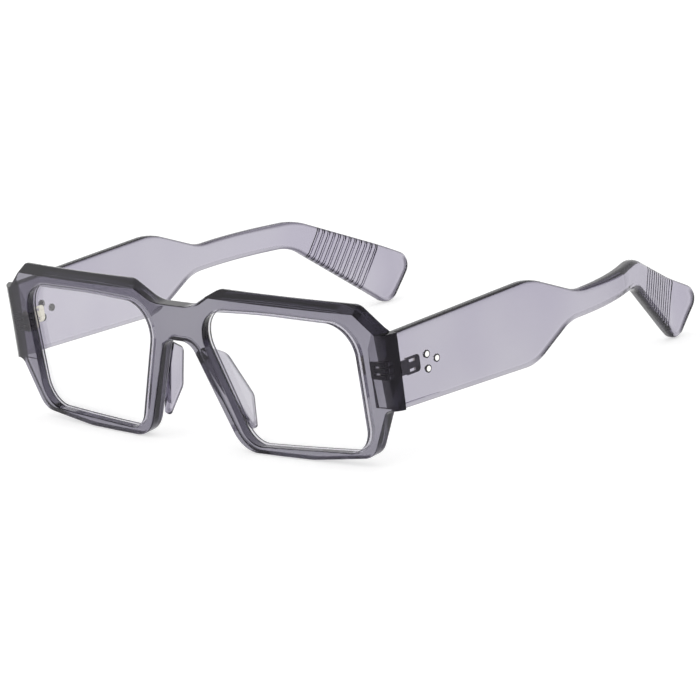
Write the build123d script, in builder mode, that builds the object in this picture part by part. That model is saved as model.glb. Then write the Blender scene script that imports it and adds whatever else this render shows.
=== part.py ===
from build123d import *
from math import atan2, cos, degrees, radians, sin, sqrt, tan
import os

os.makedirs("parts", exist_ok=True)

# Square spectacle frame in clear acetate, standing on its rims and temple tips.
# X runs across the face, +Y back along the temples, +Z up, all sizes in millimetres.
# The origin is on the table, under the middle of the frame's length.

# Front plate, a thick sheet bent to a wide curve and leaning back at the foot
front_tilt = 3.33
front_curve = 550.0
front_thickness = 4.4
overrun = 5.0

# Lens openings, measured in the sheet
bridge_gap = 21.4
opening_width = 54.4
opening_height = 37.35
crown_share = 0.43
crown_rise = 0.75
brow_side_drop = 0.4
outer_taper = 0.6
outer_foot_rise = 1.35
nose_shoulder = 27.65
nose_slope = 10.7
top_nose_radius = 8.0
crown_radius = 200.0
top_outer_radius = 9.0
foot_outer_radius = 7.5
foot_nose_radius = 7.0
shoulder_radius = 9.0

# Outline of the front round the openings
foot_wall = 1.95
brow_wall = 5.85
brow_fall = 1.1
brow_inset = 6.5
brow_overhang = 1.1
bridge_rise = 0.65
bridge_height = 10.15
bridge_flat = 15.0
bridge_foot_width = 10.2
nose_wall = 3.0
rest_length = 25.6
cheek_foot_rise = 2.1
cheek_foot_inset = 0.3
cheek_overhang = 7.1
endpiece_reach = 11.8
endpiece_shoulder = 2.6
endpiece_drop = 2.45
endpiece_height = 21.0
endpiece_depth = 3.45
bevel_width = 3.9
bevel_bulge = 0.6
seat_start = 1.9
front_arris = 0.4
back_arris = 1.0
opening_arris = 0.3
bridge_top_radius = 12.0
brow_radius = 4.0
slope_foot_radius = 5.0
cheek_top_radius = 2.5
cheek_foot_radius = 6.0
rest_radius = 30.0
nose_foot_radius = 9.0
bridge_radius = 5.0

# Facets milled along the brow and down its outer slope
facet_height = 1.9
facet_depth = 3.0
slope_facet_height = 1.35

# Lenses and the grooves that hold them
lens_setback = 2.05
lens_thickness = 1.7
lens_clearance = 0.05
groove_depth = 0.6

# Nose pads behind the rims
pad_start = 3.0
pad_length = 24.4
pad_reach = 4.1
pad_top_slope = 4.4
pad_foot_slope = 6.5
pad_thickness = 2.4
pad_splay = 10.0
pad_corner_radius = 3.5
pad_rounding = 0.9

# Temples, measured back from the joint
temple_thickness = 4.2
bend_reach = 82.8
bend_inset = 18.0
bend_radius = 60.0
flat_run = 42.1
flat_radius = 16.0
hump_reach = 51.95
hump_rise = 0.67
hump_radius = 20.0
neck_run = 17.35
neck_top = 30.1
neck_height = 7.6
neck_radius = 14.0
belly_reach = 50.9
belly_bottom = 14.3
lower_neck_run = 14.8
tip_bend_run = 31.65
tip_fall = 28.2
tip_rise = 42.0
tip_end_slope = 46.5
tip_toe_run = 24.4
tip_radius = 4.2
upper_bend_radius = 15.0
lower_bend_radius = 9.0
temple_rounding = 1.7
joint_gap = 0.05

# Grooves scored across the outside of each tip
groove_count = 12
groove_pitch = 1.65
groove_width = 0.6
groove_cut = 0.5
groove_start = 9.3
groove_margin = 0.4

# Hinges of five knuckles
pivot_inset = 2.5
pivot_back = 2.1
knuckle_radius = 1.8
knuckle_height = 0.9
knuckle_gap = 0.05
knuckle_count = 5
screw_radius = 0.7
screw_clearance = 0.04
screw_head_radius = 1.25
screw_head_height = 0.6
screw_slot_width = 0.4
screw_slot_depth = 0.3
seat_clearance = 0.03
comb_width = 5.0
comb_depth = 1.2
comb_spine = 1.3
comb_slot_height = 0.75
web_width = 2.6
leaf_thickness = 1.0
leaf_start = 0.9
leaf_neck_length = 2.9
leaf_neck_height = 4.0
leaf_plate_length = 4.9
leaf_corner_radius = 1.1
arm_front = 0.9
window_length = 2.1
window_height = 0.8
window_spacing = 2.6
window_start = 0.9

# Three pins behind each hinge, at the corners of a triangle, let in from outside
rivet_reach = 9.8
rivet_spacing = 4.0
rivet_radius = 0.4
rivet_head_radius = 1.0
rivet_head_height = 0.6
rivet_crown = 0.15
rivet_seat_gap = 0.15
rivet_length = 1.6

# Outline places that follow from the sizes
tilt = radians(front_tilt)
fall = radians(tip_fall)
rise = radians(tip_rise)
end_slope = radians(tip_end_slope)
flat_reach = bend_reach + flat_run
bend_angle = atan2(bend_inset, flat_run)
opening_inner = bridge_gap / 2
opening_outer = opening_inner + opening_width
opening_top = foot_wall + opening_height
side_x = opening_outer + endpiece_reach
bridge_top = opening_top + bridge_rise
bridge_bottom = bridge_top - bridge_height
brow_top = opening_top + brow_wall
brow_start = opening_inner + brow_inset
brow_end = opening_outer + brow_overhang
endpiece_top = opening_top - endpiece_drop
endpiece_bottom = endpiece_top - endpiece_height
nose_foot_x = opening_inner + nose_slope - nose_wall
side_back = front_curve - sqrt(front_curve**2 - side_x**2)
prism_depth = side_back + front_thickness + overrun

# Temple outline places, as distances back from the joint and heights over the table
neck_reach = hump_reach + neck_run
tip_bend_reach = neck_reach + tip_bend_run
tip_toe_reach = tip_bend_reach + tip_toe_run
toe_half = (rise + end_slope) / 2
toe_lean = (end_slope - rise) / 2
toe_z = tip_radius * (1 - cos(toe_lean) / cos(toe_half))
heel_back = (neck_top - toe_z + tip_bend_reach * tan(fall) + tip_toe_reach * tan(end_slope)) / (
    tan(fall) + tan(end_slope)
)
heel_z = neck_top - (heel_back - tip_bend_reach) * tan(fall)
tip_reach = heel_back - tip_radius * ((cos(fall) + cos(end_slope)) / sin(fall + end_slope) - 1)
lower_bend_reach = tip_toe_reach - (neck_top - neck_height - toe_z) / tan(rise)

# Lengthwise places: the joint, the front and the hinge pivot
joint_offset = side_back * cos(tilt) - endpiece_top * sin(tilt) + endpiece_depth
frame_depth = bridge_top * sin(tilt) + joint_offset + tip_reach
front_y = bridge_top * sin(tilt) - frame_depth / 2
joint_y = front_y + joint_offset
joint_top = (endpiece_top + joint_offset * sin(tilt)) / cos(tilt)
joint_bottom = (endpiece_bottom + joint_offset * sin(tilt)) / cos(tilt)
inner_x = side_x - temple_thickness
pivot_x = inner_x - pivot_inset
pivot_y = joint_y + pivot_back
hinge_z = (joint_top + joint_bottom) / 2
knuckle_pitch = knuckle_height + knuckle_gap
hinge_height = knuckle_count * knuckle_pitch - knuckle_gap
leaf_x = inner_x + leaf_thickness

front_plane = Plane(
    origin=(0, front_y, 0), x_dir=(1, 0, 0), z_dir=(0, -cos(tilt), -sin(tilt))
)
plan_plane = Plane(
    origin=(0, front_y, 0), x_dir=(1, 0, 0), z_dir=(0, -sin(tilt), cos(tilt))
)
joint_plane = Plane(origin=(0, joint_y, 0), x_dir=(1, 0, 0), z_dir=(0, -1, 0))
pivot_plane = Plane.XY.offset(hinge_z - hinge_height / 2)

opening_points = [
    (opening_inner, opening_top),
    (opening_inner + crown_share * opening_width, opening_top + crown_rise),
    (opening_outer, opening_top - brow_side_drop),
    (opening_outer - outer_taper, foot_wall + outer_foot_rise),
    (opening_inner + nose_slope, foot_wall),
    (opening_inner, foot_wall + nose_shoulder),
]
opening_radii = [
    top_nose_radius,
    crown_radius,
    top_outer_radius,
    foot_outer_radius,
    foot_nose_radius,
    shoulder_radius,
]
outline_points = [
    (0, bridge_top),
    (bridge_flat / 2, bridge_top),
    (brow_start, brow_top),
    (brow_end, brow_top - brow_fall),
    (side_x - endpiece_shoulder, endpiece_top),
    (side_x, endpiece_top),
    (side_x, endpiece_bottom),
    (opening_outer + cheek_overhang, endpiece_bottom),
    (opening_outer + cheek_foot_inset, cheek_foot_rise),
    (nose_foot_x + rest_length, 0),
    (nose_foot_x, 0),
    (bridge_foot_width / 2, bridge_bottom),
    (0, bridge_bottom),
]
outline_radii = [
    bridge_top_radius,
    brow_radius,
    brow_radius,
    slope_foot_radius,
    0,
    0,
    cheek_top_radius,
    cheek_foot_radius,
    rest_radius,
    nose_foot_radius,
    bridge_radius,
]
profile_points = [
    (joint_y + joint_gap, joint_top),
    (joint_y + hump_reach, joint_top + hump_rise),
    (joint_y + neck_reach, neck_top),
    (joint_y + tip_bend_reach, neck_top),
    (joint_y + heel_back, heel_z),
    (joint_y + tip_toe_reach, toe_z),
    (joint_y + lower_bend_reach, neck_top - neck_height),
    (joint_y + belly_reach + lower_neck_run, neck_top - neck_height),
    (joint_y + belly_reach, belly_bottom),
    (joint_y + joint_gap, joint_bottom),
]
profile_radii = [
    hump_radius,
    neck_radius,
    upper_bend_radius,
    tip_radius,
    tip_radius,
    lower_bend_radius,
    neck_radius,
    neck_radius,
]


def curved_band(setback, thickness):
    """A wide shell that follows the front's face, from a setback behind it."""
    with BuildPart() as band:
        with BuildSketch(plan_plane.offset(-overrun)):
            with Locations((0, front_curve)):
                Circle(front_curve - setback)
                Circle(front_curve - setback - thickness, mode=Mode.SUBTRACT)
        extrude(amount=brow_top + 2 * overrun)
    return band.part


def opening_slab(growth, setback, thickness):
    """The lens opening's shape, grown all round, as a curved slab."""
    band = curved_band(setback, thickness)
    with BuildPart() as slab:
        with BuildSketch(front_plane):
            with BuildLine():
                FilletPolyline(*opening_points, radius=opening_radii, close=True)
            make_face()
            offset(amount=growth)
        extrude(amount=-prism_depth)
        add(band, mode=Mode.INTERSECT)
    return slab.part


def temple_side(skin):
    """The temple's plan line at a depth under its outer face, bent inwards and back again."""
    turn = skin * tan(bend_angle / 2)
    return FilletPolyline(
        (side_x - skin, joint_y + joint_gap),
        (side_x - skin, joint_y + bend_reach - turn),
        (side_x - bend_inset - skin, joint_y + flat_reach - turn),
        (side_x - bend_inset - skin, joint_y + flat_reach + tip_reach),
        radius=[bend_radius - skin, flat_radius + skin],
    )


def temple_strip(outer_skin, inner_skin):
    """The temple's blank as a wide strip between two depths under its outer face."""
    with BuildPart() as strip:
        with BuildSketch():
            with BuildLine():
                outer = temple_side(outer_skin)
                inner = temple_side(inner_skin)
                Line(outer @ 0, inner @ 0)
                Line(outer @ 1, inner @ 1)
            make_face()
        extrude(amount=brow_top)
    return strip.part


# Front plate: half of it, then its mirror image
brow_angle = degrees(atan2(brow_fall, brow_end - brow_start))
slope_run = side_x - endpiece_shoulder - brow_end
slope_drop = brow_top - brow_fall - endpiece_top
slope_start_back = front_curve - sqrt(front_curve**2 - brow_end**2)
slope_turn = (side_back - slope_start_back) / (side_x - brow_end)
face_normal = front_plane.z_dir + front_plane.x_dir * slope_turn
slope_dir = (
    (front_plane.x_dir - front_plane.z_dir * slope_turn) * slope_run
    - front_plane.y_dir * slope_drop
)
slope_plane = Plane(
    origin=front_plane.from_local_coords((brow_end, brow_top - brow_fall, -slope_start_back)),
    x_dir=face_normal.cross(slope_dir),
    z_dir=slope_dir,
)
side_plane = Plane(origin=front_plane.origin, x_dir=front_plane.z_dir * -1, z_dir=(1, 0, 0))
curve_axis = Axis(front_plane.from_local_coords((0, 0, -front_curve)), front_plane.y_dir)
brow_corner = Axis(front_plane.from_local_coords((brow_start, brow_top, 0)), front_plane.z_dir)

with BuildPart() as brow_cutter:
    with BuildSketch(side_plane):
        with BuildLine():
            Polyline(
                (-facet_depth, brow_top - 2 * facet_height),
                (2 * facet_depth, brow_top + facet_height),
                (-facet_depth, brow_top + facet_height),
                close=True,
            )
        make_face()
    revolve(axis=curve_axis)

with BuildPart() as slope_cutter:
    with BuildSketch(slope_plane):
        with BuildLine():
            Polyline(
                (-2 * slope_facet_height, facet_depth),
                (slope_facet_height, -2 * facet_depth),
                (3 * slope_facet_height, facet_depth),
                close=True,
            )
        make_face()
    extrude(amount=2 * slope_run, both=True)
    with BuildSketch(plan_plane.offset(endpiece_top)):
        Rectangle(2 * front_curve, 2 * front_curve)
    extrude(amount=front_curve, mode=Mode.INTERSECT)

# The endpiece's bowed outer corner, which runs out flush with the temple at the joint
bevel_x = side_x - bevel_width
bevel_back = front_curve - sqrt(front_curve**2 - bevel_x**2)
with BuildPart() as bevel_cutter:
    for height in (endpiece_bottom - overrun, endpiece_top + overrun):
        joint_back = (joint_offset + height * sin(tilt)) / cos(tilt)
        bevel_length = sqrt(bevel_width**2 + (joint_back - bevel_back) ** 2)
        bulge_share = bevel_bulge / bevel_length
        bulge_point = (
            (bevel_x + side_x) / 2 + bulge_share * (joint_back - bevel_back),
            (bevel_back + joint_back) / 2 - bulge_share * bevel_width,
        )
        with BuildSketch(plan_plane.offset(height)):
            with BuildLine():
                bow = ThreePointArc((bevel_x, bevel_back), bulge_point, (side_x, joint_back))
                Polyline(
                    bow @ 1,
                    (side_x + overrun, joint_back),
                    (side_x + overrun, bevel_back - overrun),
                    (bevel_x, bevel_back - overrun),
                    bow @ 0,
                )
            make_face()
    loft(ruled=True)

groove = opening_slab(groove_depth, lens_setback - lens_clearance, lens_thickness + 2 * lens_clearance)
falling_cutter = brow_cutter.part.rotate(brow_corner, -brow_angle)

with BuildPart() as front_half:
    with BuildSketch(front_plane):
        with BuildLine():
            FilletPolyline(*outline_points, radius=outline_radii)
            Line((0, bridge_bottom), (0, bridge_top))
        make_face()
    extrude(amount=-prism_depth)
    with BuildSketch(plan_plane.offset(-overrun)):
        with Locations((0, front_curve)):
            Circle(front_curve)
            Circle(front_curve - front_thickness, mode=Mode.SUBTRACT)
        Rectangle(2 * side_x, 2 * prism_depth, mode=Mode.INTERSECT)
    extrude(amount=brow_top + 2 * overrun, mode=Mode.INTERSECT)
    # Rounded arrises, small in front and larger at the back
    front_face, back_face = front_half.faces().sort_by(SortBy.AREA)[-2:].sort_by(Axis.Y)
    back_edges = back_face.outer_wire().edges()
    front_edges = front_face.outer_wire().edges()
    fillet(back_edges.filter_by_position(Axis.X, back_arris, side_x - front_arris), back_arris)
    fillet(front_edges.filter_by_position(Axis.X, front_arris, side_x - front_arris), front_arris)
    add(bevel_cutter.part, mode=Mode.SUBTRACT)
    add(falling_cutter, mode=Mode.SUBTRACT)
    add(slope_cutter.part, mode=Mode.SUBTRACT)
    with BuildSketch(front_plane):
        with BuildLine():
            FilletPolyline(*opening_points, radius=opening_radii, close=True)
        make_face()
    extrude(amount=-prism_depth, mode=Mode.SUBTRACT)
    opening_edges = [
        edge
        for face in front_half.faces().sort_by(SortBy.AREA)[-2:]
        for wire in face.inner_wires()
        for edge in wire.edges()
    ]
    fillet(opening_edges, opening_arris)
    add(groove, mode=Mode.SUBTRACT)
    # Flat seat for the temple and the hinge
    with BuildSketch(joint_plane):
        with Locations((opening_outer + seat_start, joint_bottom)):
            Rectangle(side_x, joint_top, align=(Align.MIN, Align.MIN))
    extrude(amount=-prism_depth, mode=Mode.SUBTRACT)
    # Pocket of the hinge comb, with tongues of the sheet left between its teeth
    with BuildSketch(joint_plane):
        with Locations((pivot_x, hinge_z)):
            Rectangle(comb_width + 2 * seat_clearance, hinge_height + 2 * seat_clearance)
        with Locations((pivot_x + comb_spine / 2 + seat_clearance, hinge_z)):
            with GridLocations(0, 2 * knuckle_pitch, 1, 2):
                Rectangle(
                    comb_width - comb_spine, comb_slot_height - 2 * seat_clearance, mode=Mode.SUBTRACT
                )
    extrude(amount=comb_depth + seat_clearance, mode=Mode.SUBTRACT)

with BuildPart() as front_frame:
    add(front_half.part)
    mirror(about=Plane.YZ)
front_frame.part.label = "front_frame"
export_step(front_frame.part, "parts/front_frame.step")

# Lens, a slab curved with the front and seated in its groove
with BuildPart() as lens:
    add(opening_slab(groove_depth - lens_clearance, lens_setback, lens_thickness))

# Nose pad, a fin glued behind the nose side of the rim
nose_run = nose_foot_x - bridge_foot_width / 2
nose_dir = front_plane.x_dir * nose_run - front_plane.y_dir * bridge_bottom
nose_plane = Plane(
    origin=front_plane.from_local_coords((bridge_foot_width / 2, bridge_bottom, -front_thickness)),
    x_dir=nose_dir,
    z_dir=front_plane.z_dir.cross(nose_dir),
).rotated((pad_splay, 0, 0))
plate_band = curved_band(0, front_thickness)

with BuildPart() as nose_pad:
    with BuildSketch(nose_plane):
        with BuildLine():
            pad_side = FilletPolyline(
                (pad_start - pad_top_slope / 2, -pad_reach / 2),
                (pad_start + pad_top_slope, pad_reach),
                (pad_start + pad_length - pad_foot_slope, pad_reach),
                (pad_start + pad_length + pad_foot_slope / 2, -pad_reach / 2),
                radius=[pad_corner_radius, pad_corner_radius],
            )
            Line(pad_side @ 1, pad_side @ 0)
        make_face()
    extrude(amount=pad_thickness)
    fillet(nose_pad.edges(), pad_rounding)
    add(plate_band, mode=Mode.SUBTRACT)

# Hinge, front half: a comb let into the endpiece and every other knuckle
with BuildPart() as hinge_front_leaf:
    with BuildSketch(joint_plane):
        with Locations((pivot_x, hinge_z)):
            Rectangle(comb_width, hinge_height)
        with Locations((pivot_x + comb_spine / 2, hinge_z)):
            with GridLocations(0, 2 * knuckle_pitch, 1, 2):
                Rectangle(comb_width - comb_spine, comb_slot_height, mode=Mode.SUBTRACT)
    extrude(amount=comb_depth)
    for level in range(0, knuckle_count, 2):
        with BuildSketch(pivot_plane.offset(level * knuckle_pitch)):
            with Locations((pivot_x, joint_y)):
                Rectangle(web_width, pivot_back, align=(Align.CENTER, Align.MIN))
            with Locations((pivot_x, pivot_y)):
                Circle(knuckle_radius)
                Circle(screw_radius + screw_clearance, mode=Mode.SUBTRACT)
        extrude(amount=knuckle_height)

# Hinge, temple half: a leaf let into the inner face, with two windows, and the other knuckles
leaf_back = joint_y + leaf_start + leaf_neck_length
leaf_plane = Plane.YZ.offset(inner_x)
with BuildPart() as hinge_temple_leaf:
    with BuildSketch(leaf_plane) as leaf_side:
        with Locations((leaf_back, hinge_z)):
            Rectangle(leaf_plate_length, hinge_height, align=(Align.MIN, Align.CENTER))
        fillet(leaf_side.vertices().group_by(Axis.X)[-1], leaf_corner_radius)
        with Locations((leaf_back, hinge_z)):
            Rectangle(leaf_neck_length, leaf_neck_height, align=(Align.MAX, Align.CENTER))
        with Locations((leaf_back + window_start, hinge_z)):
            with GridLocations(0, window_spacing, 1, 2):
                Rectangle(
                    window_length, window_height, align=(Align.MIN, Align.CENTER), mode=Mode.SUBTRACT
                )
    extrude(amount=leaf_thickness)
    for level in range(1, knuckle_count, 2):
        with BuildSketch(pivot_plane.offset(level * knuckle_pitch)):
            with Locations((pivot_x, pivot_y)):
                Circle(knuckle_radius)
            with Locations((pivot_x, pivot_y - arm_front)):
                Rectangle(
                    pivot_inset + leaf_thickness,
                    arm_front + knuckle_radius,
                    align=(Align.MIN, Align.MIN),
                )
            with Locations((pivot_x, pivot_y)):
                Circle(screw_radius + screw_clearance, mode=Mode.SUBTRACT)
        extrude(amount=knuckle_height)

# Hinge screw, with a slotted head over the top knuckle
with BuildPart() as hinge_screw:
    with BuildSketch(pivot_plane):
        with Locations((pivot_x, pivot_y)):
            Circle(screw_radius)
    extrude(amount=hinge_height)
    with BuildSketch(pivot_plane.offset(hinge_height)):
        with Locations((pivot_x, pivot_y)):
            Circle(screw_head_radius)
    extrude(amount=screw_head_height)
    with BuildSketch(pivot_plane.offset(hinge_height + screw_head_height)):
        with Locations((pivot_x, pivot_y)):
            Rectangle(2 * screw_head_radius, screw_slot_width)
    extrude(amount=-screw_slot_depth, mode=Mode.SUBTRACT)

# Temple: its side outline cut out of the bent strip
strip = temple_strip(0, temple_thickness)
groove_skin = temple_strip(-overrun, groove_cut)
rivet_side = Plane.YZ.offset(side_x)
rivet_places = [
    (joint_y + rivet_reach, hinge_z - rivet_spacing / 2),
    (joint_y + rivet_reach, hinge_z + rivet_spacing / 2),
    (joint_y + rivet_reach + rivet_spacing * sqrt(3) / 2, hinge_z),
]

with BuildPart() as tip_grooves:
    with BuildSketch(Plane.YZ) as lines:
        with BuildLine():
            side = FilletPolyline(*profile_points, radius=profile_radii)
            Line(side @ 1, side @ 0)
        make_face()
        offset(amount=-groove_margin)
        with BuildSketch(Plane.YZ, mode=Mode.INTERSECT):
            for number in range(groove_count):
                along = groove_start + number * groove_pitch
                with Locations(
                    Location(
                        (
                            joint_y + tip_bend_reach + along * cos(fall),
                            neck_top - along * sin(fall),
                        ),
                        -tip_fall,
                    )
                ):
                    Rectangle(groove_width, neck_top, align=(Align.CENTER, Align.MAX))
    extrude(amount=side_x + overrun)
    add(groove_skin, mode=Mode.INTERSECT)

with BuildPart() as temple:
    add(strip)
    with BuildSketch(Plane.YZ):
        with BuildLine():
            side = FilletPolyline(*profile_points, radius=profile_radii)
            Line(side @ 1, side @ 0)
        make_face()
    extrude(amount=side_x + overrun, mode=Mode.INTERSECT)
    long_edges = temple.edges().filter_by(Axis.X, reverse=True).filter_by(Axis.Z, reverse=True)
    fillet(long_edges, temple_rounding)
    add(tip_grooves.part, mode=Mode.SUBTRACT)
    # Pocket of the hinge leaf, with bosses left for its windows
    with BuildSketch(leaf_plane):
        with Locations((leaf_back, hinge_z)):
            pocket = Rectangle(
                leaf_plate_length, hinge_height, align=(Align.MIN, Align.CENTER)
            )
        fillet(pocket.vertices().group_by(Axis.X)[-1], leaf_corner_radius)
        with Locations((leaf_back, hinge_z)):
            Rectangle(leaf_neck_length, leaf_neck_height, align=(Align.MAX, Align.CENTER))
        offset(amount=seat_clearance)
        with Locations((leaf_back + window_start + seat_clearance, hinge_z)):
            with GridLocations(0, window_spacing, 1, 2):
                Rectangle(
                    window_length - 2 * seat_clearance,
                    window_height - 2 * seat_clearance,
                    align=(Align.MIN, Align.CENTER),
                    mode=Mode.SUBTRACT,
                )
    extrude(amount=leaf_thickness + seat_clearance, mode=Mode.SUBTRACT)
    # Blind holes for the pins, counterbored for their heads
    with BuildSketch(rivet_side):
        with Locations(*rivet_places):
            Circle(rivet_radius + seat_clearance)
    extrude(amount=-rivet_head_height - rivet_length, mode=Mode.SUBTRACT)
    with BuildSketch(rivet_side):
        with Locations(*rivet_places):
            Circle(rivet_head_radius + rivet_seat_gap)
    extrude(amount=-rivet_head_height, mode=Mode.SUBTRACT)

# Pins with crowned heads, pressed into the temple from outside
with BuildPart() as temple_rivets:
    with BuildSketch(rivet_side.offset(-rivet_head_height)):
        with Locations(*rivet_places):
            Circle(rivet_radius)
    extrude(amount=-rivet_length)
    with BuildSketch(rivet_side.offset(-rivet_head_height)):
        with Locations(*rivet_places):
            Circle(rivet_head_radius)
    extrude(amount=rivet_head_height + rivet_crown)
    fillet(temple_rivets.faces().filter_by(Axis.X).group_by(Axis.X)[-1].edges(), rivet_crown)

# Both sides of every piece but the front
right_pieces = {
    "lens": lens,
    "nose_pad": nose_pad,
    "hinge_front_leaf": hinge_front_leaf,
    "hinge_temple_leaf": hinge_temple_leaf,
    "hinge_screw": hinge_screw,
    "temple": temple,
    "temple_rivets": temple_rivets,
}
for name, piece in right_pieces.items():
    piece.part.label = name + "_right"
    export_step(piece.part, "parts/" + name + "_right.step")
    left_piece = mirror(piece.part, about=Plane.YZ)
    left_piece.label = name + "_left"
    export_step(left_piece, "parts/" + name + "_left.step")
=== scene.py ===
from math import radians

import bpy
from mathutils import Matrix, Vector

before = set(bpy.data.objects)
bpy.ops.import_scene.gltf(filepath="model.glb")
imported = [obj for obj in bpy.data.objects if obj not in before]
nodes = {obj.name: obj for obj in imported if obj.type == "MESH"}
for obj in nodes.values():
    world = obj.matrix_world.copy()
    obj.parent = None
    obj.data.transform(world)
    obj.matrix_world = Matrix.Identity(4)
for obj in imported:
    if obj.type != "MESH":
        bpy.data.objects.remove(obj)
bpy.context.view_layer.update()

# The front: one thick sheet of cellulose acetate, sawn and milled with both rims, the bridge
# and the endpieces, then tumbled in wood chips and polished until it is as clear as glass.
# Its grey dye shows pale through the sheet and deeper wherever light runs along it, and painted
# shade darkens its edges and facets and makes the seats behind the endpieces almost black.
mm = 0.001


def linear(hex_colour):
    """An sRGB hex value as the linear colour that a shader takes."""
    shares = [int(hex_colour[start:start + 2], 16) / 255 for start in (1, 3, 5)]
    lit = [((share + 0.055) / 1.055) ** 2.4 if share > 0.04045 else share / 12.92 for share in shares]
    return (*lit, 1.0)


def add_node(tree, kind, settings=None, links=None):
    """A shader node with its settings, its inputs set to values or linked from other nodes."""
    made = tree.nodes.new(kind)
    for name, value in (settings or {}).items():
        setattr(made, name, value)
    for name, value in (links or {}).items():
        if isinstance(value, bpy.types.NodeSocket):
            tree.links.new(value, made.inputs[name])
        else:
            made.inputs[name].default_value = value
    return made


def new_material(name):
    """A new material whose node tree is still empty."""
    material = bpy.data.materials.new(name)
    material.use_nodes = True
    material.node_tree.nodes.clear()
    return material


def dress(pieces, material):
    """The named CAD pieces wear this material alone."""
    for piece in pieces:
        nodes[piece].data.materials.clear()
        nodes[piece].data.materials.append(material)


def node_box(name):
    """The lowest and the highest corner of a CAD piece."""
    spans = list(zip(*nodes[name].bound_box))
    return Vector([min(span) for span in spans]), Vector([max(span) for span in spans])


def polished_acetate(name, dye, dye_density, sheet_axis, edge_shade_tone, facet_shade_tone):
    """Tumbled and polished cellulose acetate: a clear solid whose cut edges and facets carry painted
    shade.

    The density of its dye counts per metre that light goes through it.
    """
    material = new_material(name)
    tree = material.node_tree
    place = add_node(tree, "ShaderNodeTexCoord")
    # tumbling leaves a waviness of about 9 mm that only moves a reflection's edge
    waves = add_node(tree, "ShaderNodeTexNoise", links={
        "Vector": place.outputs["Object"], "Scale": 1 / (9 * mm), "Detail": 1.0, "Roughness": 0.4})
    bump = add_node(tree, "ShaderNodeBump", links={
        "Height": waves.outputs["Fac"], "Strength": 0.05, "Distance": 0.4 * mm})
    # fine handling marks of about 1.5 mm change how sharp the gloss is
    marks = add_node(tree, "ShaderNodeTexNoise", links={
        "Vector": place.outputs["Object"], "Scale": 1 / (1.5 * mm), "Detail": 4.0, "Roughness": 0.6})
    gloss = add_node(tree, "ShaderNodeMapRange", links={
        "Value": marks.outputs["Fac"], "From Min": 0.3, "From Max": 0.75,
        "To Min": 0.012, "To Max": 0.035})
    # the dye settles in soft clouds about 30 mm across
    clouds = add_node(tree, "ShaderNodeTexNoise", links={
        "Vector": place.outputs["Object"], "Scale": 1 / (30 * mm), "Detail": 1.0, "Roughness": 0.4})
    cloud_tone = add_node(tree, "ShaderNodeValToRGB", links={"Fac": clouds.outputs["Fac"]})
    cloud_tone.color_ramp.elements[0].position = 0.35
    cloud_tone.color_ramp.elements[0].color = linear("#f1eff5")
    cloud_tone.color_ramp.elements[1].position = 0.65
    cloud_tone.color_ramp.elements[1].color = linear("#ffffff")
    # sawn edges and milled facets are painted darker, as shade where light comes to them along the
    # sheet.
    # They are told from the faces by how far they face along its axis: an edge 0, a facet half, a
    # face 1
    facing = add_node(tree, "ShaderNodeSeparateXYZ", links={"Vector": place.outputs["Normal"]})
    flatness = add_node(tree, "ShaderNodeMath", {"operation": "ABSOLUTE"}, {
        0: facing.outputs[sheet_axis]})
    painted_cut_shade = add_node(tree, "ShaderNodeValToRGB", links={"Fac": flatness.outputs["Value"]})
    painted_cut_shade.color_ramp.elements[0].position = 0.3
    painted_cut_shade.color_ramp.elements[0].color = linear(edge_shade_tone)
    painted_cut_shade.color_ramp.elements[1].position = 0.85
    painted_cut_shade.color_ramp.elements[1].color = linear("#ffffff")
    for facet_turn in (0.42, 0.62):
        painted_cut_shade.color_ramp.elements.new(facet_turn).color = linear(facet_shade_tone)
    # a mix of colours takes its share at input 0 and the two colours at inputs 6 and 7
    tone = add_node(tree, "ShaderNodeMix", {"data_type": "RGBA", "blend_type": "MULTIPLY"}, {
        0: 1.0, 6: cloud_tone.outputs["Color"], 7: painted_cut_shade.outputs["Color"]})
    surface = add_node(tree, "ShaderNodeBsdfPrincipled", {"name": "surface"}, {
        "Base Color": tone.outputs[2], "Transmission Weight": 1.0, "IOR": 1.48,
        "Specular Tint": linear("#bdb7c6"),
        "Roughness": gloss.outputs["Result"], "Normal": bump.outputs["Normal"]})
    inside = add_node(tree, "ShaderNodeVolumeAbsorption", links={
        "Color": linear(dye), "Density": dye_density})
    add_node(tree, "ShaderNodeOutputMaterial", links={
        "Surface": surface.outputs["BSDF"], "Volume": inside.outputs["Volume"]})
    return material


# the front's edges and facets get a deep painted shade
front_acetate = polished_acetate(
    "polished_grey_acetate_front", dye="#a29fad", dye_density=405.0, sheet_axis="Y",
    edge_shade_tone="#8e8c95", facet_shade_tone="#807e87")
front_tree = front_acetate.node_tree
front_surface = front_tree.nodes["surface"]
cloud_and_cut_shade = front_surface.inputs["Base Color"].links[0].from_socket
front_place = add_node(front_tree, "ShaderNodeTexCoord")
front_axes = add_node(front_tree, "ShaderNodeSeparateXYZ", links={
    "Vector": front_place.outputs["Object"]})
front_side = add_node(front_tree, "ShaderNodeMath", {"operation": "ABSOLUTE"}, {
    0: front_axes.outputs["X"]})

# the seats behind the endpieces are sawn square for the temples, and painted shade makes them
# almost black through the clear sheet, outwards from a line that slants with the endpiece. The
# temple starts 0.05 mm behind its seat, and whatever is within face_margin of a face is part of it
temple_low, temple_high = node_box("temple_right")
joint_face_y = temple_low.y - 0.05 * mm
face_margin = 0.04 * mm
seat_foot_z = 16.27 * mm
seat_top_z = 37.3 * mm
dark_foot_x = 70.9 * mm
dark_top_x = 69.7 * mm
seat_step_x = 67.0 * mm
behind = add_node(front_tree, "ShaderNodeMath", {"operation": "GREATER_THAN"}, {
    0: front_axes.outputs["Y"], 1: joint_face_y - face_margin})
over_foot = add_node(front_tree, "ShaderNodeMath", {"operation": "GREATER_THAN"}, {
    0: front_axes.outputs["Z"], 1: seat_foot_z})
back_seat = add_node(front_tree, "ShaderNodeMath", {"operation": "MULTIPLY"}, {
    0: behind.outputs["Value"], 1: over_foot.outputs["Value"]})
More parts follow.
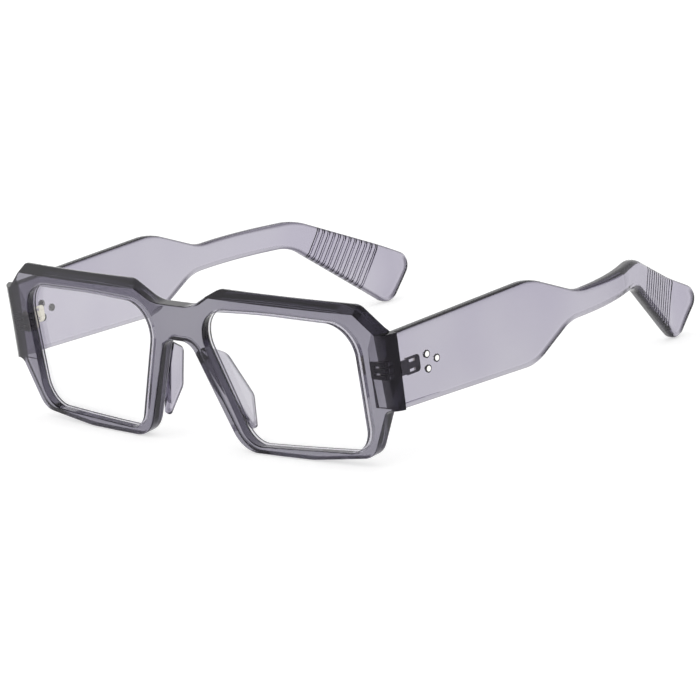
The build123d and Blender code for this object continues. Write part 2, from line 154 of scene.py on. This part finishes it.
dark_line = add_node(front_tree, "ShaderNodeMapRange", links={
    "Value": front_axes.outputs["Z"], "From Min": seat_foot_z, "From Max": seat_top_z,
    "To Min": dark_foot_x, "To Max": dark_top_x})
past_line = add_node(front_tree, "ShaderNodeMath", {"operation": "GREATER_THAN"}, {
    0: front_side.outputs["Value"], 1: dark_line.outputs["Result"]})
seat_painted_shade = add_node(front_tree, "ShaderNodeMath", {"operation": "MULTIPLY"}, {
    0: back_seat.outputs["Value"], 1: past_line.outputs["Value"]})
# between the step beside the rim and that line, the seat gets a lighter, grey painted shade
past_step = add_node(front_tree, "ShaderNodeMath", {"operation": "GREATER_THAN"}, {
    0: front_side.outputs["Value"], 1: seat_step_x})
step_shade_area = add_node(front_tree, "ShaderNodeMath", {"operation": "MULTIPLY"}, {
    0: back_seat.outputs["Value"], 1: past_step.outputs["Value"]})
step_shade_tone = add_node(front_tree, "ShaderNodeMix", {"data_type": "RGBA", "blend_type": "MULTIPLY"}, {
    0: step_shade_area.outputs["Value"], 6: cloud_and_cut_shade, 7: linear("#a3a1a8")})
seat_shade_tone = add_node(front_tree, "ShaderNodeMix", {"data_type": "RGBA"}, {
    0: seat_painted_shade.outputs["Value"], 6: step_shade_tone.outputs[2], 7: linear("#121114")})
front_tree.links.new(seat_shade_tone.outputs[2], front_surface.inputs["Base Color"])

# the hinge combs are pressed in hot with no air between, so the walls of their pockets show
# dull metal, out to twice the 0.03 mm of clearance that the solids leave round each comb
bedded_grey = linear("#4d4b50")
bedded_roughness = 0.6
pocket_reach = 0.06 * mm
comb_low, comb_high = node_box("hinge_front_leaf_right")
comb_middle = (comb_low + comb_high) / 2
comb_half = (comb_high - comb_low) / 2
pocket_side = add_node(front_tree, "ShaderNodeMath", {"operation": "COMPARE"}, {
    0: front_side.outputs["Value"], 1: comb_middle.x, 2: comb_half.x + pocket_reach})
pocket_level = add_node(front_tree, "ShaderNodeMath", {"operation": "COMPARE"}, {
    0: front_axes.outputs["Z"], 1: comb_middle.z, 2: comb_half.z + pocket_reach})
pocket_depth = add_node(front_tree, "ShaderNodeMath", {"operation": "COMPARE"}, {
    0: front_axes.outputs["Y"], 1: (comb_low.y + joint_face_y) / 2 - face_margin,
    2: (joint_face_y - comb_low.y) / 2})
pocket_area = add_node(front_tree, "ShaderNodeMath", {"operation": "MULTIPLY"}, {
    0: pocket_side.outputs["Value"], 1: pocket_level.outputs["Value"]})
pocket_walls = add_node(front_tree, "ShaderNodeMath", {"operation": "MULTIPLY"}, {
    0: pocket_area.outputs["Value"], 1: pocket_depth.outputs["Value"]})
bedded_comb = add_node(front_tree, "ShaderNodeBsdfPrincipled", links={
    "Base Color": bedded_grey, "Metallic": 1.0, "Roughness": bedded_roughness})
front_look = add_node(front_tree, "ShaderNodeMixShader", links={
    0: pocket_walls.outputs["Value"], 1: front_surface.outputs["BSDF"],
    2: bedded_comb.outputs["BSDF"]})
front_output = front_tree.nodes["Material Output"]
front_tree.links.new(front_look.outputs["Shader"], front_output.inputs["Surface"])
dress(["front_frame"], front_acetate)

# The lenses: shallow demonstration lenses of clear cast plastic, cut to the rim's shape. The faces
# are polished and have no tint, and the edge is ground matt and carries painted shade, so it shows as
# a thin dark line all round.
lens_plastic = new_material("clear_cast_plastic_lens")
lens_tree = lens_plastic.node_tree
lens_place = add_node(lens_tree, "ShaderNodeTexCoord")
# wiping leaves a haze in patches of about 12 mm that only softens a reflection
lens_haze = add_node(lens_tree, "ShaderNodeTexNoise", links={
    "Vector": lens_place.outputs["Object"], "Scale": 1 / (12 * mm), "Detail": 2.0})
lens_gloss = add_node(lens_tree, "ShaderNodeMapRange", links={
    "Value": lens_haze.outputs["Fac"], "To Min": 0.0, "To Max": 0.008})
lens_clear = add_node(lens_tree, "ShaderNodeBsdfPrincipled", links={
    "Base Color": linear("#ffffff"), "Transmission Weight": 1.0, "IOR": 1.5,
    "Roughness": lens_gloss.outputs["Result"]})
# grinding marks of about 0.2 mm vary the painted shade round the edge, which faces away from the Y
# axis
lens_marks = add_node(lens_tree, "ShaderNodeTexNoise", links={
    "Vector": lens_place.outputs["Object"], "Scale": 1 / (0.2 * mm), "Detail": 2.0})
lens_edge_shade = add_node(lens_tree, "ShaderNodeValToRGB", links={"Fac": lens_marks.outputs["Fac"]})
lens_edge_shade.color_ramp.elements[0].color = linear("#4a484e")
lens_edge_shade.color_ramp.elements[1].color = linear("#66646a")
lens_ground_and_shaded = add_node(lens_tree, "ShaderNodeBsdfPrincipled", links={
    "Base Color": lens_edge_shade.outputs["Color"], "Roughness": 0.6, "IOR": 1.5})
lens_facing = add_node(lens_tree, "ShaderNodeSeparateXYZ", links={
    "Vector": lens_place.outputs["Normal"]})
lens_flatness = add_node(lens_tree, "ShaderNodeMath", {"operation": "ABSOLUTE"}, {
    0: lens_facing.outputs["Y"]})
lens_edge = add_node(lens_tree, "ShaderNodeMath", {"operation": "LESS_THAN"}, {
    0: lens_flatness.outputs["Value"], 1: 0.6})
lens_surface = add_node(lens_tree, "ShaderNodeMixShader", links={
    0: lens_edge.outputs["Value"], 1: lens_clear.outputs["BSDF"], 2: lens_ground_and_shaded.outputs["BSDF"]})
add_node(lens_tree, "ShaderNodeOutputMaterial", links={"Surface": lens_surface.outputs["Shader"]})
dress(["lens_left", "lens_right"], lens_plastic)

# The nose pads: fins cut from thinner offcuts of the same acetate, glued behind the rims and
# filed by hand, so they are a little paler and more rounded than the sheet.
# the pads' edges and facets get a lighter painted shade than the front's
pad_acetate = polished_acetate(
    "polished_grey_acetate_pads", dye="#a6a1b2", dye_density=360.0, sheet_axis="X",
    edge_shade_tone="#d8d6dc", facet_shade_tone="#aaa8b0")
dress(["nose_pad_left", "nose_pad_right"], pad_acetate)

# The temples: sawn from a thinner sheet of the same acetate, bent down and inwards at the tip
# while warm, with grooves scored across the tip's outside so that it grips.
# the temples' edges and facets get a painted shade, deepest on the facets
temple_acetate = polished_acetate(
    "polished_grey_acetate_temples", dye="#a39db1", dye_density=255.0, sheet_axis="X",
    edge_shade_tone="#8f8c94", facet_shade_tone="#716e77")
dress(["temple_left", "temple_right"], temple_acetate)

# The hinges: five-knuckle leaves and slotted screws of nickel silver, stamped and tumbled. The
# faces bedded in the acetate are given a dull, almost black grey, and the open faces are
# bright, with fine lines of the rolled sheet, drawn 0.12 mm apart so that they show.
temple_sheet = 4.2 * mm
inner_face_x = temple_high.x - temple_sheet
nickel_silver = new_material("stamped_nickel_silver")
metal_tree = nickel_silver.node_tree
metal_place = add_node(metal_tree, "ShaderNodeTexCoord")
# rolling draws the lines out lengthwise, to about twelve times their width
metal_stretch = add_node(metal_tree, "ShaderNodeMapping", links={
    "Vector": metal_place.outputs["Object"], "Scale": (1.0, 0.08, 1.0)})
metal_lines = add_node(metal_tree, "ShaderNodeTexNoise", links={
    "Vector": metal_stretch.outputs["Vector"], "Scale": 1 / (0.12 * mm), "Detail": 2.0})
metal_tone = add_node(metal_tree, "ShaderNodeValToRGB", links={"Fac": metal_lines.outputs["Fac"]})
metal_tone.color_ramp.elements[0].color = linear("#c9c4b6")
metal_tone.color_ramp.elements[1].color = linear("#efebdf")
metal_axes = add_node(metal_tree, "ShaderNodeSeparateXYZ", links={
    "Vector": metal_place.outputs["Object"]})
metal_side = add_node(metal_tree, "ShaderNodeMath", {"operation": "ABSOLUTE"}, {
    0: metal_axes.outputs["X"]})
in_temple = add_node(metal_tree, "ShaderNodeMath", {"operation": "GREATER_THAN"}, {
    0: metal_side.outputs["Value"], 1: inner_face_x + face_margin})
in_front = add_node(metal_tree, "ShaderNodeMath", {"operation": "LESS_THAN"}, {
    0: metal_axes.outputs["Y"], 1: joint_face_y - face_margin})
bedded = add_node(metal_tree, "ShaderNodeMath", {"operation": "MAXIMUM"}, {
    0: in_temple.outputs["Value"], 1: in_front.outputs["Value"]})
metal_colour = add_node(metal_tree, "ShaderNodeMix", {"data_type": "RGBA"}, {
    0: bedded.outputs["Value"], 6: metal_tone.outputs["Color"], 7: bedded_grey})
open_gloss = add_node(metal_tree, "ShaderNodeMapRange", links={
    "Value": metal_lines.outputs["Fac"], "To Min": 0.2, "To Max": 0.36})
bedded_gloss = add_node(metal_tree, "ShaderNodeMath", {"operation": "MULTIPLY"}, {
    0: bedded.outputs["Value"], 1: bedded_roughness})
metal_gloss = add_node(metal_tree, "ShaderNodeMath", {"operation": "MAXIMUM"}, {
    0: open_gloss.outputs["Result"], 1: bedded_gloss.outputs["Value"]})
metal_surface = add_node(metal_tree, "ShaderNodeBsdfPrincipled", links={
    "Base Color": metal_colour.outputs[2], "Metallic": 1.0,
    "Roughness": metal_gloss.outputs["Value"]})
add_node(metal_tree, "ShaderNodeOutputMaterial", links={"Surface": metal_surface.outputs["BSDF"]})
hinge_pieces = ["hinge_front_leaf_", "hinge_temple_leaf_", "hinge_screw_"]
dress([piece + side for piece in hinge_pieces for side in ("left", "right")], nickel_silver)

# The pins: three turned heads of polished nickel silver behind each hinge, pressed in from
# outside. The face is mirror bright, and the turned step round it is painted dark as shade.
head_radius = 1.0 * mm
bright_radius = 0.78 * mm
step_radius = 0.86 * mm
ragged_edge = 0.12 * mm
pins_low, pins_high = node_box("temple_rivets_right")
pin_places = [
    (pins_low.y + head_radius, pins_low.z + head_radius),
    (pins_low.y + head_radius, pins_high.z - head_radius),
    (pins_high.y - head_radius, (pins_low.z + pins_high.z) / 2)]
polished_pins = new_material("polished_nickel_silver_pins")
pin_tree = polished_pins.node_tree
pin_place = add_node(pin_tree, "ShaderNodeTexCoord")
pin_flat = add_node(pin_tree, "ShaderNodeVectorMath", {"operation": "MULTIPLY"}, {
    0: pin_place.outputs["Object"], 1: (0.0, 1.0, 1.0)})
reaches = [add_node(pin_tree, "ShaderNodeVectorMath", {"operation": "DISTANCE"}, {
    0: pin_flat.outputs["Vector"], 1: (0.0, *pin_middle)}) for pin_middle in pin_places]
nearest = reaches[0]
for reach in reaches[1:]:
    nearest = add_node(pin_tree, "ShaderNodeMath", {"operation": "MINIMUM"}, {
        0: nearest.outputs["Value"], 1: reach.outputs["Value"]})
# the bright face ends in a ragged edge, where the painted shade breaks into specks of about 0.6 mm
pin_shade_specks = add_node(pin_tree, "ShaderNodeTexNoise", links={
    "Vector": pin_place.outputs["Object"], "Scale": 1 / (0.6 * mm), "Detail": 2.0})
pin_reach = add_node(pin_tree, "ShaderNodeMath", {"operation": "MULTIPLY_ADD"}, {
    0: pin_shade_specks.outputs["Fac"], 1: ragged_edge, 2: nearest.outputs["Value"]})
pin_step_shade = add_node(pin_tree, "ShaderNodeMapRange", links={
    "Value": pin_reach.outputs["Value"], "From Min": bright_radius, "From Max": step_radius})
pin_colour = add_node(pin_tree, "ShaderNodeMix", {"data_type": "RGBA"}, {
    0: pin_step_shade.outputs["Result"], 6: linear("#fbfaf6"), 7: linear("#2e2c30")})
pin_gloss = add_node(pin_tree, "ShaderNodeMapRange", links={
    "Value": pin_step_shade.outputs["Result"], "To Min": 0.12, "To Max": 0.55})
pin_surface = add_node(pin_tree, "ShaderNodeBsdfPrincipled", links={
    "Base Color": pin_colour.outputs[2], "Metallic": 1.0,
    "Roughness": pin_gloss.outputs["Result"]})
add_node(pin_tree, "ShaderNodeOutputMaterial", links={"Surface": pin_surface.outputs["BSDF"]})
dress(["temple_rivets_left", "temple_rivets_right"], polished_pins)

# The table and the room: white laminate under an even white light, as in a catalogue picture.
# The table keeps the soft shadow of the frame, and everything else stays plain white.


def seen_rays(tree):
    """1 for rays from the camera, a gloss or a clear body, which see white, and 0 for light."""
    rays = add_node(tree, "ShaderNodeLightPath")
    camera_or_gloss = add_node(tree, "ShaderNodeMath", {"operation": "MAXIMUM"}, {
        0: rays.outputs["Is Camera Ray"], 1: rays.outputs["Is Glossy Ray"]})
    return add_node(tree, "ShaderNodeMath", {"operation": "MAXIMUM"}, {
        0: camera_or_gloss.outputs["Value"], 1: rays.outputs["Is Transmission Ray"]})


gap_under_feet = 0.2 * mm
bpy.ops.object.select_all(action="DESELECT")
bpy.ops.mesh.primitive_plane_add(size=6.0, location=(0.0, 0.0, -gap_under_feet))
table = bpy.context.object
table.name = "table_top"
table_white = new_material("white_laminate")
table_tree = table_white.node_tree
laminate = add_node(table_tree, "ShaderNodeBsdfDiffuse", links={"Color": linear("#d6d6d6")})
# the glow lifts the lit laminate to white, and leaves its shadow a light grey
glow_strength = add_node(table_tree, "ShaderNodeMath", {"operation": "MULTIPLY"}, {
    0: seen_rays(table_tree).outputs["Value"], 1: 0.58})
glow = add_node(table_tree, "ShaderNodeEmission", links={
    "Color": linear("#ffffff"), "Strength": glow_strength.outputs["Value"]})
table_surface = add_node(table_tree, "ShaderNodeAddShader", links={
    0: laminate.outputs["BSDF"], 1: glow.outputs["Emission"]})
add_node(table_tree, "ShaderNodeOutputMaterial", links={"Surface": table_surface.outputs["Shader"]})
table.data.materials.append(table_white)

room = bpy.data.worlds.new("white_room")
bpy.context.scene.world = room
room.use_nodes = True
room_tree = room.node_tree
room_tree.nodes.clear()
room_strength = add_node(room_tree, "ShaderNodeMapRange", links={
    "Value": seen_rays(room_tree).outputs["Value"], "To Min": 0.85, "To Max": 1.0})
room_light = add_node(room_tree, "ShaderNodeBackground", links={
    "Color": linear("#ffffff"), "Strength": room_strength.outputs["Result"]})
add_node(room_tree, "ShaderNodeOutputWorld", links={"Surface": room_light.outputs["Background"]})

# The camera: a long lens from in front, above and to the wearer's left, tipped a little over.
# Its place, its turns and its lens were fitted to the outline of the whole frame in the photo.
camera_data = bpy.data.cameras.new("catalogue_camera")
camera_data.sensor_width = 36.0
camera_data.lens = 268.18
camera_data.clip_end = 20.0
camera = bpy.data.objects.new("catalogue_camera", camera_data)
camera.location = (1.026731, -0.968212, 0.375499)
camera.rotation_euler = (radians(75.3055), radians(7.1227), radians(45.0567))
bpy.context.collection.objects.link(camera)
bpy.context.scene.camera = camera

bpy.context.scene.view_settings.view_transform = "Standard"
